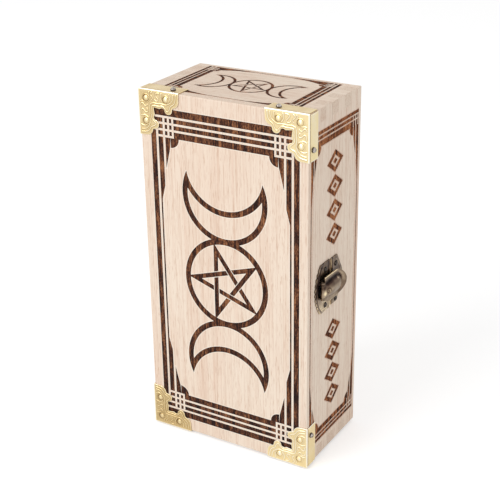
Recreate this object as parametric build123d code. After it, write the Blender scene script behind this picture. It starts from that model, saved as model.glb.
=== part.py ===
from build123d import *
import os
from math import cos, hypot, radians, sin

# A wooden card case that stands on one short end and opens like a book.
# X runs across the front, Y runs from the front panel to the back panel, Z is up.
# The origin is the middle of the lower end face. Millimetres.

os.makedirs("parts", exist_ok=True)

# Case
box_width = 99.2
box_depth = 58.0
box_height = 200.0
lid_depth = 24.6
seam_gap = 0.2
wall_thickness = 7.0
panel_thickness = 5.5
edge_round = 0.5
lid_fingers = 3
body_fingers = 4

# Burnt-in pattern
burn_depth = 0.3
cut_overrun = 0.5
pattern_width = 98.0
front_pattern_height = 201.2
front_shift = (0.6, -0.6)
side_shift = (0, -0.9)
end_shift = (-0.6, 1.4)
figure_ring_radius = 25.7
figure_ring_width = 3.3
star_radius = 24.1
figure_bar_width = 2.7
figure_bar_gap = 0.3
crescent_offset = 48.45
crescent_radius = 25.75
crescent_bite_offset = 65.05
crescent_bite_radius = 23.35
crescent_stroke = 3.25
end_figure_share = 0.47
lozenge_count = 4
lozenge_pitch = 13.4
lozenge_width = 18.0
lozenge_height = 12.4
lozenge_stroke = 2.9
lozenge_row_offset = 48.0
wedge_narrowing = 0.3

# Corner brackets
sheet = 0.6
bracket_leg = 25.0
flange_depth = 9.4
bend_round = 0.45
corner_slit = 0.2
boss_radius = 1.8
boss_height = 0.6
boss_places = ((4.9, 4.9), (17.1, 4.5), (4.5, 17.1))
# Points of a leg's scalloped edge: back from the leg's end, in from the outer edge
scallop_end = (0.2, 4.8)
scallop_round = (1.2, 7.3)
scallop_shelf = (3.8, 8.5)
lobe_start = (4.2, 9.9)
lobe_tip = (6.6, 12.3)
lobe_end = (9.0, 9.9)
lobe_dip = (10.4, 9.3)
lobe_rise = (11.8, 9.9)
bracket_inner_corner = 9.4
bracket_nail_from_corner = 19.2
bracket_nail_from_front = 4.4
bracket_nail_head_radius = 1.5
bracket_nail_head_height = 1.5
foot_nail_head_height = 0.8
bracket_nail_shank_radius = 0.6
bracket_nail_length = 6.0
nail_clearance = 0.02

# Catch on the right side
latch_height = 101.9
latch_sheet = 0.8
fan_height = 28.0
fan_from_seam = 1.4
fan_straight = 10.2
fan_bulge = 6.0
dentil_radius = 0.7
dentil_count = 9
dentil_spacing = 2.9
keeper_height = 27.0
keeper_from_seam = 0.3
keeper_width = 12.8
keeper_straight = 6.9
keeper_nose = 6.0
pin_from_seam = 12.3
pin_height = 1.6
pin_radius = 0.7
pin_head_radius = 1.1
pin_head_height = 0.5
pin_clearance = 0.05
ear_thickness = 0.8
ear_radius = 1.3
ear_gap = 0.2
heel_width = 7.0
lever_width = 15.2
lever_start = 1.6
lever_sheet = 1.0
lever_crown_radius = 20.0
lever_shoulder_run = 3.4
lever_shoulder_height = 4.0
lever_flat_run = 15.0
lever_flat_height = 4.7
lever_lip_run = 20.6
lever_lip_height = 5.8
lever_lip_bend = 0.3
lever_heel_drop = 0.8
lever_heel_round = (0.25, 0.3)
lever_crown_angle = 35
web_half = 0.9
web_inset = 0.2
tongue_thickness = 0.8
tongue_width = 5.0
tongue_height = 2.8
tongue_from_seam = 3.2
hook_gap = 0.4
hook_floor_gap = 0.8
latch_nail_spread = 10.2
fan_nail_from_seam = 6.5
fan_nail_drop = 0.3
keeper_nail_from_seam = 5.3
keeper_nail_drop = 1.3
latch_nail_head_radius = 1.6
latch_nail_head_height = 0.9
latch_nail_shank_radius = 0.55
latch_nail_length = 5.5

# Hinges on the left side
hinge_height = 20.0
hinge_from_end = 42.0
leaf_width = 11.0
leaf_sheet = 0.7
barrel_radius = 1.6
barrel_lift = 0.2
hinge_pin_radius = 0.8
hinge_pin_head_radius = 1.4
hinge_pin_head_height = 0.6
knuckle_count = 5
knuckle_gap = 0.15
barrel_clearance = 0.4
leaf_nail_spread = 6.4
leaf_nail_from_pin = 6.6
hinge_nail_head_radius = 1.15
hinge_nail_head_height = 0.55
hinge_nail_shank_radius = 0.5
hinge_nail_length = 5.0

right = box_width / 2
left = -right
back = box_depth / 2
front = -back
top = box_height
bottom = 0.0
seam = front + lid_depth
lid_rim = seam - seam_gap / 2
body_rim = seam + seam_gap / 2
lid_frame_front = front + panel_thickness
body_frame_back = back - panel_thickness

front_plane = Plane((0, front, top / 2), x_dir=(1, 0, 0), z_dir=(0, -1, 0))
right_plane = Plane((right, 0, top / 2), x_dir=(0, 1, 0), z_dir=(1, 0, 0))
left_plane = Plane((left, 0, top / 2), x_dir=(0, -1, 0), z_dir=(-1, 0, 0))
top_plane = Plane((0, 0, top), x_dir=(1, 0, 0), z_dir=(0, 0, 1))
bottom_plane = Plane((0, 0, bottom), x_dir=(1, 0, 0), z_dir=(0, 0, -1))


def slab(x0, x1, y0, y1, z0, z1):
    """A block between two corners."""
    middle = Pos((x0 + x1) / 2, (y0 + y1) / 2, (z0 + z1) / 2)
    return middle * Box(abs(x1 - x0), abs(y1 - y0), abs(z1 - z0))


def polygon(points):
    """A flat face through the points, whichever way round they are given."""
    turned = list(zip(points, points[1:] + points[:1]))
    area = sum(p[0] * q[1] - q[0] * p[1] for p, q in turned)
    return Polygon(*(points if area > 0 else points[::-1]))


def join(shapes):
    """All the shapes as one."""
    total = shapes[0]
    for shape in shapes[1:]:
        total = total + shape
    return total


# Frames of the lid and the body, finger-jointed at their four corners
envelope = slab(left, right, front, back, bottom, top)
envelope = fillet(envelope.edges(), edge_round)


def fingers(y0, y1, count, first, own_parity):
    """The stretches of Y that one wall owns at a corner; first numbers the joint's first finger."""
    step = (y1 - y0) / count
    numbers = [n for n in range(count) if (first + n) % 2 == own_parity]
    return [(y0 + n * step, y0 + (n + 1) * step) for n in numbers]


def side_wall(sign, y0, y1, count, first):
    """A long wall on the left or right, notched at both ends for the end walls' fingers."""
    x0, x1 = sign * (right - wall_thickness), sign * right
    wall = slab(x0, x1, y0, y1, bottom, top)
    for f0, f1 in fingers(y0, y1, count, first, 1):
        wall -= slab(x0, x1, f0, f1, bottom, bottom + wall_thickness)
        wall -= slab(x0, x1, f0, f1, top - wall_thickness, top)
    return wall & envelope


def end_wall(z0, z1, y0, y1, count, first):
    """A short wall at the top or bottom, notched at both ends for the side walls' fingers."""
    wall = slab(left, right, y0, y1, z0, z1)
    for f0, f1 in fingers(y0, y1, count, first, 0):
        wall -= slab(left, left + wall_thickness, f0, f1, z0, z1)
        wall -= slab(right - wall_thickness, right, f0, f1, z0, z1)
    return wall & envelope


def frame_walls(y0, y1, count, first):
    """The four walls of one frame by the side they stand on."""
    return {
        "left": side_wall(-1, y0, y1, count, first),
        "right": side_wall(1, y0, y1, count, first),
        "top": end_wall(top - wall_thickness, top, y0, y1, count, first),
        "bottom": end_wall(bottom, bottom + wall_thickness, y0, y1, count, first),
    }


# Burnt-in borders. On each face a border is measured from the face's edges: across from
# the long edge, down from the short edge. Light lines are left unburnt inside the dark.
front_border = {
    "end": (8.8, 24.3),
    "end_lines": (13.2, 16.7, 20.2),
    "side": 4.9,
    "grid_lines": (13.1, 15.9, 18.6),
    "grid_foot": 23.6,
    "line": 1.1,
    "plain_stripe": (4.9, 8.2),
    "tapered_stripe": (9.4, 12.5, 10.4),
    "taper": (51.0, 59.0),
    "wedge": (13.7, 17.0),
    "wedge_drop": (29.4, 41.5),
    "scallop": (17.0, 5.2),
}
side_border = {
    "end": (10.5, 18.7),
    "end_lines": (12.75, 15.25),
    "side": 2.7,
    "grid_lines": (3.7, 6.25, 9.0),
    "grid_foot": 18.7,
    "line": 0.7,
    "plain_stripe": None,
    "tapered_stripe": (2.7, 5.6, 3.5),
    "taper": (31.0, 49.0),
    "wedge": (6.2, 8.6),
    "wedge_drop": (25.0, 35.0),
    "scallop": (8.6, 4.6),
}
end_border = {
    "end": (8.3, 16.0),
    "end_lines": (10.5, 12.9),
    "side": 4.1,
    "grid_lines": (6.6, 8.6, 10.6),
    "grid_foot": 16.0,
    "line": 0.6,
    "plain_stripe": None,
    "tapered_stripe": (4.1, 6.7, 5.0),
    "taper": (27.0, 38.0),
    "wedge": (6.7, 9.6),
    "wedge_drop": (19.5, 27.0),
    "scallop": (9.6, 3.0),
}


def border_quarter(width, height, spec, across, up):
    """The border's dark area in one quarter of a face, as if the burn were solid."""

    def at(a, b):
        return (across * (width / 2 - a), up * (height / 2 - b))

    def patch(a0, a1, b0, b1):
        return polygon([at(a0, b0), at(a1, b0), at(a1, b1), at(a0, b1)])

    end_top, end_foot = spec["end"]
    stripe, wide, thin = spec["tapered_stripe"]
    taper_from, taper_to = spec["taper"]
    wedge_side, wedge_far = spec["wedge"]
    wedge_shoulder, wedge_tip = spec["wedge_drop"]
    scallop_at, scallop_radius = spec["scallop"]
    middle = height / 2
    dark = [
        patch(spec["side"], width / 2, end_top, end_foot),
        polygon([
            at(stripe, end_foot), at(wide, end_foot), at(wide, taper_from),
            at(thin, taper_to), at(thin, middle), at(stripe, middle),
        ]),
        polygon([
            at(wedge_side, end_foot), at(wedge_far, end_foot),
            at(wedge_far - wedge_narrowing, wedge_shoulder), at(wedge_side, wedge_tip),
        ]),
        Pos(*at(scallop_at, end_foot)) * Circle(scallop_radius)
        & patch(scallop_at, width / 2, end_foot, middle),
    ]
    if spec["plain_stripe"]:
        dark.append(patch(*spec["plain_stripe"], end_foot, middle))
    half_line = spec["line"] / 2
    first_line = spec["end_lines"][0]
    grid_right = spec["grid_lines"][-1]
    light = [patch(spec["side"], width / 2, b - half_line, b + half_line) for b in spec["end_lines"]]
    light += [patch(a - half_line, a + half_line, first_line, spec["grid_foot"])
              for a in spec["grid_lines"]]
    if spec["plain_stripe"]:
        between = (spec["plain_stripe"][1], stripe)
        light.append(patch(*between, spec["end_lines"][-1], middle))
        light.append(patch(between[0], grid_right + half_line,
                           spec["grid_foot"] - half_line, spec["grid_foot"] + half_line))
        light.append(patch(wide, wedge_side, first_line, wedge_tip))
    return join(dark) - join(light)


def border(width, height, spec):
    """The whole border of a face, centred on it."""
    return join([border_quarter(width, height, spec, across, up) for across in (-1, 1) for up in (-1, 1)])


def crossing(p, q, r, s):
    """The point where the line through p and q meets the line through r and s."""
    d1 = (q[0] - p[0], q[1] - p[1])
    d2 = (s[0] - r[0], s[1] - r[1])
    share = ((r[0] - p[0]) * d2[1] - (r[1] - p[1]) * d2[0]) / (d1[0] * d2[1] - d1[1] * d2[0])
    return (p[0] + share * d1[0], p[1] + share * d1[1])


def bar(p, q, width):
    """A straight bar of the given width between two points."""
    length = hypot(q[0] - p[0], q[1] - p[1])
    side = ((p[1] - q[1]) / length * width / 2, (q[0] - p[0]) / length * width / 2)
    return polygon([
        (p[0] - side[0], p[1] - side[1]), (q[0] - side[0], q[1] - side[1]),
        (q[0] + side[0], q[1] + side[1]), (p[0] + side[0], p[1] + side[1]),
    ])


def around(radius, degrees):
    """The point at a radius and an angle from the middle."""
    return (radius * cos(radians(degrees)), radius * sin(radians(degrees)))


def stretched(p, q, extra):
    """The line from p to q made longer by the same length at both ends."""
    share = extra / hypot(q[0] - p[0], q[1] - p[1])
    step = (share * (q[0] - p[0]), share * (q[1] - p[1]))
    return (p[0] - step[0], p[1] - step[1]), (q[0] + step[0], q[1] + step[1])


def star():
    """A five-pointed star of interlaced bars, one point to the left, its tips in the ring."""
    notch = star_radius * cos(radians(72)) / cos(radians(36))
    outline = [around(notch if n % 2 else star_radius, 180 + 36 * n) for n in range(10)]
    reach = star_radius - figure_bar_width / (2 * cos(radians(72)))
    corners = [around(reach, 180 + 72 * n) for n in range(5)]
    ends = [(corners[n], corners[(n + 2) % 5]) for n in range(5)]
    bars = []
    for n in range(5):
        over = ends[n - 1]
        meet = crossing(*ends[n], *over)
        length = hypot(over[1][0] - over[0][0], over[1][1] - over[0][1])
        along = ((over[1][0] - over[0][0]) / length, (over[1][1] - over[0][1]) / length)
        near = 2 * figure_bar_width
        cover = bar(
            (meet[0] - near * along[0], meet[1] - near * along[1]),
            (meet[0] + near * along[0], meet[1] + near * along[1]),
            figure_bar_width + 2 * figure_bar_gap,
        )
        bars.append(bar(*stretched(*ends[n], star_radius - reach), figure_bar_width) - cover)
    return join(bars) & polygon(outline)


def crescent(up):
    """An outlined crescent over (up = 1) or under (up = -1) the ring, horns pointing away."""
    moon = Pos(0, up * crescent_offset) * Circle(crescent_radius)
    moon -= Pos(0, up * crescent_bite_offset) * Circle(crescent_bite_radius)
    heart = Pos(0, up * crescent_offset) * Circle(crescent_radius - crescent_stroke)
    heart -= Pos(0, up * crescent_bite_offset) * Circle(crescent_bite_radius + crescent_stroke)
    return moon - heart


def figure():
    """The ring with its star between two crescents."""
    ring = Circle(figure_ring_radius) - Circle(figure_ring_radius - figure_ring_width)
    return join([ring, crescent(1), crescent(-1), star()])


def lozenges():
    """A short upright row of outlined lozenges with a solid one inside each."""
    def lozenge(width, height):
        return polygon([(-width / 2, 0), (0, -height / 2), (width / 2, 0), (0, height / 2)])

    hollow = 1 - 2 * lozenge_stroke / lozenge_height
    core = hollow / 2
    tile = lozenge(lozenge_width, lozenge_height)
    tile -= lozenge(lozenge_width * hollow, lozenge_height * hollow)
    tile += lozenge(lozenge_width * core, lozenge_height * core)
    first = -(lozenge_count - 1) / 2 * lozenge_pitch
    return join([Pos(0, first + n * lozenge_pitch) * tile for n in range(lozenge_count)])


def burn(plane, pattern):
    """The pattern as a shallow cutter that sinks into a face."""
    raised = Plane(plane.origin + plane.z_dir * cut_overrun, x_dir=plane.x_dir, z_dir=plane.z_dir)
    return extrude(raised * pattern, amount=burn_depth + cut_overrun, dir=-plane.z_dir)


front_pattern = join([border(pattern_width, front_pattern_height, front_border), figure()])
front_burn = burn(front_plane, Pos(*front_shift) * front_pattern)
long_side = Pos(*side_shift) * border(box_depth, box_height, side_border)
row_up = Pos(0, lozenge_row_offset) * lozenges()
row_down = Pos(0, -lozenge_row_offset) * lozenges()
right_burn = burn(right_plane, join([long_side, row_up, row_down]))
left_burn = burn(left_plane, long_side)
end_figure = scale(figure(), end_figure_share)
end_pattern = Rot(0, 0, 90) * join([border(box_depth, pattern_width, end_border), end_figure])
end_face = Pos(*end_shift) * end_pattern
top_burn = burn(top_plane, end_face)
bottom_burn = burn(bottom_plane, end_face)


# Nails
def nail(head_radius, head_height, shank_radius, length):
    """A dome-headed nail that points down, the underside of its head at height zero."""
    dome = (head_radius ** 2 + head_height ** 2) / (2 * head_height)
    bulge = (head_radius / 2, (dome ** 2 - head_radius ** 2 / 4) ** 0.5 + head_height - dome)
    tip = 2 * shank_radius
    outline = [
        Line((0, -length), (shank_radius, tip - length)),
        Line((shank_radius, tip - length), (shank_radius, 0)),
        Line((shank_radius, 0), (head_radius, 0)),
        ThreePointArc((head_radius, 0), bulge, (0, head_height)),
        Line((0, head_height), (0, -length)),
    ]
    return revolve(Plane.XZ * make_face(outline), axis=Axis.Z)


def nail_hole(shank_radius, length):
    """The hole that a nail fills, from above its plate down past its point."""
    depth = length + nail_clearance
    drill = Cylinder(shank_radius + nail_clearance, depth + cut_overrun)
    return Pos(0, 0, (cut_overrun - depth) / 2) * drill


bracket_nail = nail(
    bracket_nail_head_radius, bracket_nail_head_height, bracket_nail_shank_radius, bracket_nail_length
)
foot_nail = nail(
    bracket_nail_head_radius, foot_nail_head_height, bracket_nail_shank_radius, bracket_nail_length
)
latch_nail = nail(
    latch_nail_head_radius, latch_nail_head_height, latch_nail_shank_radius, latch_nail_length
)
hinge_nail = nail(
    hinge_nail_head_radius, hinge_nail_head_height, hinge_nail_shank_radius, hinge_nail_length
)

bracket_nail_y = front - sheet + bracket_nail_from_front
bracket_nail_x = right + sheet - bracket_nail_from_corner
bracket_nail_z = bracket_nail_from_corner - sheet


def bracket_nail_places():
    """Where the nails sit on the end flanges and the side flanges."""
    places = []
    for across in (-1, 1):
        places.append(Plane((across * bracket_nail_x, bracket_nail_y, top + sheet), z_dir=(0, 0, 1)))
        places.append(Plane((across * bracket_nail_x, bracket_nail_y, bottom - sheet), z_dir=(0, 0, -1)))
        for height in (bracket_nail_z, top - bracket_nail_z):
            flank = (across * (right + sheet), bracket_nail_y, height)
            places.append(Plane(flank, z_dir=(across, 0, 0)))
    return places


bracket_places = bracket_nail_places()
# The case stands on the two nails of the lower end, so they are driven closer
bracket_nails = [place * (foot_nail if place.z_dir.Z < 0 else bracket_nail) for place in bracket_places]
bracket_holes = [place * nail_hole(bracket_nail_shank_radius, bracket_nail_length)
                 for place in bracket_places]


# Corner brackets: stamped sheet with a scalloped front plate and two flanges
def bracket_outline():
    """Half of the front plate's edge, from its tip along the leg to the inner corner."""
    def at(point):
        return (bracket_leg - point[0], point[1])

    return [
        Line((0, 0), (bracket_leg, 0)),
        Line((bracket_leg, 0), at(scallop_end)),
        ThreePointArc(at(scallop_end), at(scallop_round), at(scallop_shelf)),
        Line(at(scallop_shelf), at(lobe_start)),
        ThreePointArc(at(lobe_start), at(lobe_tip), at(lobe_end)),
        ThreePointArc(at(lobe_end), at(lobe_dip), at(lobe_rise)),
        Line(at(lobe_rise), (bracket_inner_corner, bracket_inner_corner)),
    ]


def corner_bracket():
    """The upper right bracket."""
    half = bracket_outline()
    other = [mirror(edge, about=Plane((0, 0, 0), z_dir=(1, -1, 0))) for edge in half]
    face = make_face(half + other)
    corner = Plane((right + sheet, front, top + sheet), x_dir=(-1, 0, 0), z_dir=(0, -1, 0))
    plate = extrude(corner * face, amount=sheet, dir=(0, -1, 0))
    outer = front - sheet
    side = slab(right, right + sheet, outer, outer + flange_depth,
                top + sheet - bracket_leg, top - corner_slit)
    end = slab(right + sheet - bracket_leg, right - corner_slit, outer, outer + flange_depth,
               top, top + sheet)
    bracket = plate + side + end
    bends = [e for e in bracket.edges()
             if abs(e.center().Y - outer) < 1e-4
             and (abs(e.center().X - right - sheet) < 1e-4 or abs(e.center().Z - top - sheet) < 1e-4)]
    bracket = fillet(bends, bend_round)
    dome = (boss_radius ** 2 + boss_height ** 2) / (2 * boss_height)
    for along, down in boss_places:
        spot = Pos(right + sheet - along, outer + dome - boss_height, top + sheet - down)
        cap = spot * Sphere(dome) & slab(0, box_width, outer - boss_radius, outer + sheet / 2, 0, 2 * top)
        bracket += cap
    return bracket


upper_right = corner_bracket()
middle_height = Plane((0, 0, top / 2), z_dir=(0, 0, 1))
brackets = {
    "bracket_top_right": upper_right,
    "bracket_top_left": mirror(upper_right, about=Plane.YZ),
    "bracket_bottom_right": mirror(upper_right, about=middle_height),
    "bracket_bottom_left": mirror(mirror(upper_right, about=Plane.YZ), about=middle_height),
}
for name in brackets:
    for hole in bracket_holes:
        brackets[name] -= hole


# Catch
fan_edge = seam - fan_from_seam
keeper_edge = seam + keeper_from_seam
plate_top = right + latch_sheet
latch_plane = Plane((right, 0, latch_height), x_dir=(0, 1, 0), z_dir=(1, 0, 0))


def latch_nail_places(y, drop):
    """Where a plate's two nails sit, their middle a little below the plate's own."""
    return [Plane((plate_top, y, latch_height - drop + rise), z_dir=(1, 0, 0))
            for rise in (-latch_nail_spread, latch_nail_spread)]


fan_nail_places = latch_nail_places(seam - fan_nail_from_seam, fan_nail_drop)
keeper_nail_places = latch_nail_places(seam + keeper_nail_from_seam, keeper_nail_drop)
latch_holes = [place * nail_hole(latch_nail_shank_radius, latch_nail_length)
               for place in fan_nail_places + keeper_nail_places]
pin_y = seam - pin_from_seam
pin_x = plate_top + pin_height
ear_face = heel_width / 2 + ear_gap
pin_length = 2 * (ear_face + ear_thickness)


def pin_rod(radius, length):
    """A cylinder on the catch's pivot line."""
    return Pos(pin_x, pin_y, latch_height) * Cylinder(radius, length)


def fan_plate():
    """The lid's plate, a fan with a notched rim, and the two ears that hold the pin."""
    half = fan_height / 2
    straight = fan_edge - fan_straight
    edge = [
        Line((fan_edge, -half), (fan_edge, half)),
        Line((fan_edge, half), (straight, half)),
        ThreePointArc((straight, half), (straight - fan_bulge, 0), (straight, -half)),
        Line((straight, -half), (fan_edge, -half)),
    ]
    plate = extrude(latch_plane * make_face(edge), amount=latch_sheet, dir=(1, 0, 0))
    arc_radius = (half ** 2 + fan_bulge ** 2) / (2 * fan_bulge)
    arc_middle = straight - fan_bulge + arc_radius
    for n in range(dentil_count):
        turn = (n - (dentil_count - 1) / 2) * dentil_spacing / arc_radius
        spot = Pos(plate_top, arc_middle - arc_radius * cos(turn), latch_height + arc_radius * sin(turn))
        plate -= spot * Rot(0, 90, 0) * Cylinder(dentil_radius, 3 * latch_sheet)
    for sign in (-1, 1):
        low = latch_height + sign * ear_face
        high = low + sign * ear_thickness
        plate += slab(right, pin_x, pin_y - ear_radius, pin_y + ear_radius, low, high)
        plate += Pos(pin_x, pin_y, (low + high) / 2) * Cylinder(ear_radius, ear_thickness)
    return plate - pin_rod(pin_radius + nail_clearance, fan_height)


def keeper_plate():
    """The body's plate and the upright tongue that the lever's hook passes behind."""
    half = keeper_height / 2
    straight = keeper_edge + keeper_straight
    far = keeper_edge + keeper_width
    edge = [(keeper_edge, -half), (straight, -half), (far, -keeper_nose / 2),
            (far, keeper_nose / 2), (straight, half), (keeper_edge, half)]
    plate = extrude(latch_plane * polygon(edge), amount=latch_sheet, dir=(1, 0, 0))
    y0 = seam + tongue_from_seam
    tongue = slab(right, plate_top + tongue_height, y0, y0 + tongue_thickness,
                  latch_height - tongue_width / 2, latch_height + tongue_width / 2)
    return plate + tongue


def latch_lever():
    """The lever: a crowned sheet with a round lifting end, rolled round its pin at the heel."""
    side = Plane((plate_top, pin_y, latch_height), x_dir=(0, 1, 0), z_dir=(0, 0, -1))
    crown_axis = Axis((plate_top - lever_crown_radius + lever_flat_height, 0, latch_height), (0, 1, 0))

    def surface(drop):
        shoulder = (lever_shoulder_run, lever_shoulder_height - drop)
        flat = (lever_flat_run, lever_flat_height - drop)
        lip = (lever_lip_run, lever_lip_height - drop)
        bend = ((flat[0] + lip[0]) / 2, flat[1] + lever_lip_bend * (lip[1] - flat[1]))
        start = (lever_start, shoulder[1] - lever_heel_drop)
        rise = (
            (start[0] + shoulder[0]) / 2 - lever_heel_round[0],
            (start[1] + shoulder[1]) / 2 + lever_heel_round[1],
        )
        return start, rise, shoulder, flat, bend, lip

    start, rise, shoulder, flat, bend, lip = surface(0)
    low_start, low_rise, low_shoulder, low_flat, low_bend, low_lip = surface(lever_sheet)
    outline = make_face([
        ThreePointArc(start, rise, shoulder), Line(shoulder, flat), ThreePointArc(flat, bend, lip),
        Line(lip, low_lip), ThreePointArc(low_lip, low_bend, low_flat), Line(low_flat, low_shoulder),
        ThreePointArc(low_shoulder, low_rise, low_start), Line(low_start, start),
    ])
    sheet_solid = revolve(side * outline, axis=crown_axis, revolution_arc=lever_crown_angle)
    sheet_solid += revolve(side * outline, axis=crown_axis, revolution_arc=-lever_crown_angle)
    radius = lever_width / 2
    straight_end = pin_y + lever_lip_run - radius
    left_end = pin_y + lever_start
    plan = [
        Line((left_end, -radius), (straight_end, -radius)),
        ThreePointArc((straight_end, -radius), (straight_end + radius, 0), (straight_end, radius)),
        Line((straight_end, radius), (left_end, radius)),
        Line((left_end, radius), (left_end, -radius)),
    ]
    lever = sheet_solid & extrude(latch_plane * make_face(plan), amount=2 * radius, dir=(1, 0, 0))
    barrel = pin_rod(ear_radius, heel_width)
    web = polygon([
        (-web_half, pin_height + web_half), (lever_shoulder_run, lever_shoulder_height - web_inset),
        (lever_shoulder_run, lever_shoulder_height - lever_sheet), (web_half, pin_height - web_half),
    ])
    lever += barrel + extrude(side * web, amount=heel_width / 2, both=True)
    y0 = seam + tongue_from_seam + tongue_thickness + hook_gap
    hook = slab(plate_top + hook_floor_gap, plate_top + lever_flat_height - lever_sheet / 2,
                y0, y0 + lever_sheet, latch_height - tongue_width / 2, latch_height + tongue_width / 2)
    lever += hook
    return lever - pin_rod(pin_radius + pin_clearance, 2 * lever_width)


def latch_pin():
    """The pivot with a low head outside each ear."""
    pin = pin_rod(pin_radius, pin_length)
    for sign in (-1, 1):
        z = latch_height + sign * (pin_length + pin_head_height) / 2
        pin += Pos(pin_x, pin_y, z) * Cylinder(pin_head_radius, pin_head_height)
    return pin


# Hinges
hinge_x = left - barrel_lift - barrel_radius
hinge_knuckle = hinge_height / knuckle_count
hinge_heights = {"upper": top - hinge_from_end, "lower": bottom + hinge_from_end}


def hinge_places(side, height):
    """Where a leaf's two nails sit; side is -1 on the lid and 1 on the body."""
    y = seam + side * leaf_nail_from_pin
    return [Plane((left - leaf_sheet, y, height + rise), z_dir=(-1, 0, 0))
            for rise in (-leaf_nail_spread, leaf_nail_spread)]


def hinge_leaf(side, height, parity, bore_clearance):
    """One leaf on the outside of its wall, with every other knuckle of the barrel."""
    foot = height - hinge_height / 2
    near = seam + side * (barrel_radius + barrel_clearance)
    far = seam + side * leaf_width
    leaf = slab(left - leaf_sheet, left, min(near, far), max(near, far), foot, foot + hinge_height)
    for n in range(knuckle_count):
        if n % 2 != parity:
            continue
        z0 = foot + n * hinge_knuckle + (knuckle_gap / 2 if n > 0 else 0)
        z1 = foot + (n + 1) * hinge_knuckle - (knuckle_gap / 2 if n < knuckle_count - 1 else 0)
        leaf += Pos(hinge_x, seam, (z0 + z1) / 2) * Cylinder(barrel_radius, z1 - z0)
        leaf += slab(left - leaf_sheet, left - barrel_lift, min(seam, near), max(seam, near), z0, z1)
    leaf -= Pos(hinge_x, seam, height) * Cylinder(hinge_pin_radius + bore_clearance, 2 * hinge_height)
    for place in hinge_places(side, height):
        leaf -= place * nail_hole(hinge_nail_shank_radius, hinge_nail_length)
    return leaf


def hinge_pin(height):
    """A pin with a low head at each end."""
    pin = Pos(hinge_x, seam, height) * Cylinder(hinge_pin_radius, hinge_height)
    for sign in (-1, 1):
        z = height + sign * (hinge_height + hinge_pin_head_height) / 2
        pin += Pos(hinge_x, seam, z) * Cylinder(hinge_pin_head_radius, hinge_pin_head_height)
    return pin


lid_hinge_places = [p for height in hinge_heights.values() for p in hinge_places(-1, height)]
body_hinge_places = [p for height in hinge_heights.values() for p in hinge_places(1, height)]
hinge_holes = [place * nail_hole(hinge_nail_shank_radius, hinge_nail_length)
               for place in lid_hinge_places + body_hinge_places]

# Wooden pieces with their burns and nail holes
burns = {"left": left_burn, "right": right_burn, "top": top_burn, "bottom": bottom_burn}
lid_walls = frame_walls(lid_frame_front, lid_rim, lid_fingers, 0)
body_walls = frame_walls(body_rim, body_frame_back, body_fingers, lid_fingers)
wood_holes = {
    "left": bracket_holes + hinge_holes,
    "right": bracket_holes + latch_holes,
    "top": bracket_holes,
    "bottom": bracket_holes,
}
pieces = {}
for side in ("left", "right", "top", "bottom"):
    for half, walls in (("lid", lid_walls), ("body", body_walls)):
        wall = walls[side] - burns[side]
        for hole in wood_holes[side]:
            wall -= hole
        pieces[half + "_" + side + "_wall"] = wall

lid_panel = slab(left, right, front, lid_frame_front, bottom, top) & envelope
for cutter in [front_burn] + list(burns.values()) + bracket_holes:
    lid_panel -= cutter
pieces["lid_front_panel"] = lid_panel
body_panel = slab(left, right, body_frame_back, back, bottom, top) & envelope
for cutter in burns.values():
    body_panel -= cutter
pieces["body_back_panel"] = body_panel

pieces.update(brackets)
pieces["bracket_nails"] = Compound(bracket_nails)
fan = fan_plate()
keeper = keeper_plate()
for hole in latch_holes:
    fan -= hole
    keeper -= hole
pieces["latch_fan_plate"] = fan
pieces["latch_keeper_plate"] = keeper
pieces["latch_lever"] = latch_lever()
pieces["latch_pin"] = latch_pin()
pieces["latch_fan_nails"] = Compound([place * latch_nail for place in fan_nail_places])
pieces["latch_keeper_nails"] = Compound([place * latch_nail for place in keeper_nail_places])
for where, height in hinge_heights.items():
    pieces[where + "_hinge_lid_leaf"] = hinge_leaf(-1, height, 1, pin_clearance)
    pieces[where + "_hinge_body_leaf"] = hinge_leaf(1, height, 0, nail_clearance)
    pieces[where + "_hinge_pin"] = hinge_pin(height)
pieces["hinge_lid_nails"] = Compound([place * hinge_nail for place in lid_hinge_places])
pieces["hinge_body_nails"] = Compound([place * hinge_nail for place in body_hinge_places])

for name, shape in pieces.items():
    export_step(shape, f"parts/{name}.step")
    print(name, round(shape.volume, 2))
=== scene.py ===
import math

import bpy
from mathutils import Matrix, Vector


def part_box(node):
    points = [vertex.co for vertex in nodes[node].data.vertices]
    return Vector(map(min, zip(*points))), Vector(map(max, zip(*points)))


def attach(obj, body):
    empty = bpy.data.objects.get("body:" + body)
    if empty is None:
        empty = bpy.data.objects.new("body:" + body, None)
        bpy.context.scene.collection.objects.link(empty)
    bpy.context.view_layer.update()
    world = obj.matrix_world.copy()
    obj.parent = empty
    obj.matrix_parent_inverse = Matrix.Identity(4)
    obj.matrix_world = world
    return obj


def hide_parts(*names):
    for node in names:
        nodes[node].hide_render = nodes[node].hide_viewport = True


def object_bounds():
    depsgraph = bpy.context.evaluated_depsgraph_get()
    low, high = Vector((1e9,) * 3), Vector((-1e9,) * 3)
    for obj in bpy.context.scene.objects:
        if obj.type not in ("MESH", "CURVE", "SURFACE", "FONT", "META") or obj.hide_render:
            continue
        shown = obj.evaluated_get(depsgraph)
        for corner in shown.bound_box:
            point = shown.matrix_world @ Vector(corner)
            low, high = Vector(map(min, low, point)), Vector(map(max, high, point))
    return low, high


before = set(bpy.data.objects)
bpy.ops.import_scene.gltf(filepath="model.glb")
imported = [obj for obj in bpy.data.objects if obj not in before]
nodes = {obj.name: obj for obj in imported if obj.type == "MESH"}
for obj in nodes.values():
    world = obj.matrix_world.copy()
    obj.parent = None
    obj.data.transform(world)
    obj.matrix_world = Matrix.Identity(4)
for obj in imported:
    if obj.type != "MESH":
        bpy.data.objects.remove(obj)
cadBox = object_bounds()
mm = 0.001

print("frame loaded:", len(nodes), "pieces")

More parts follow.
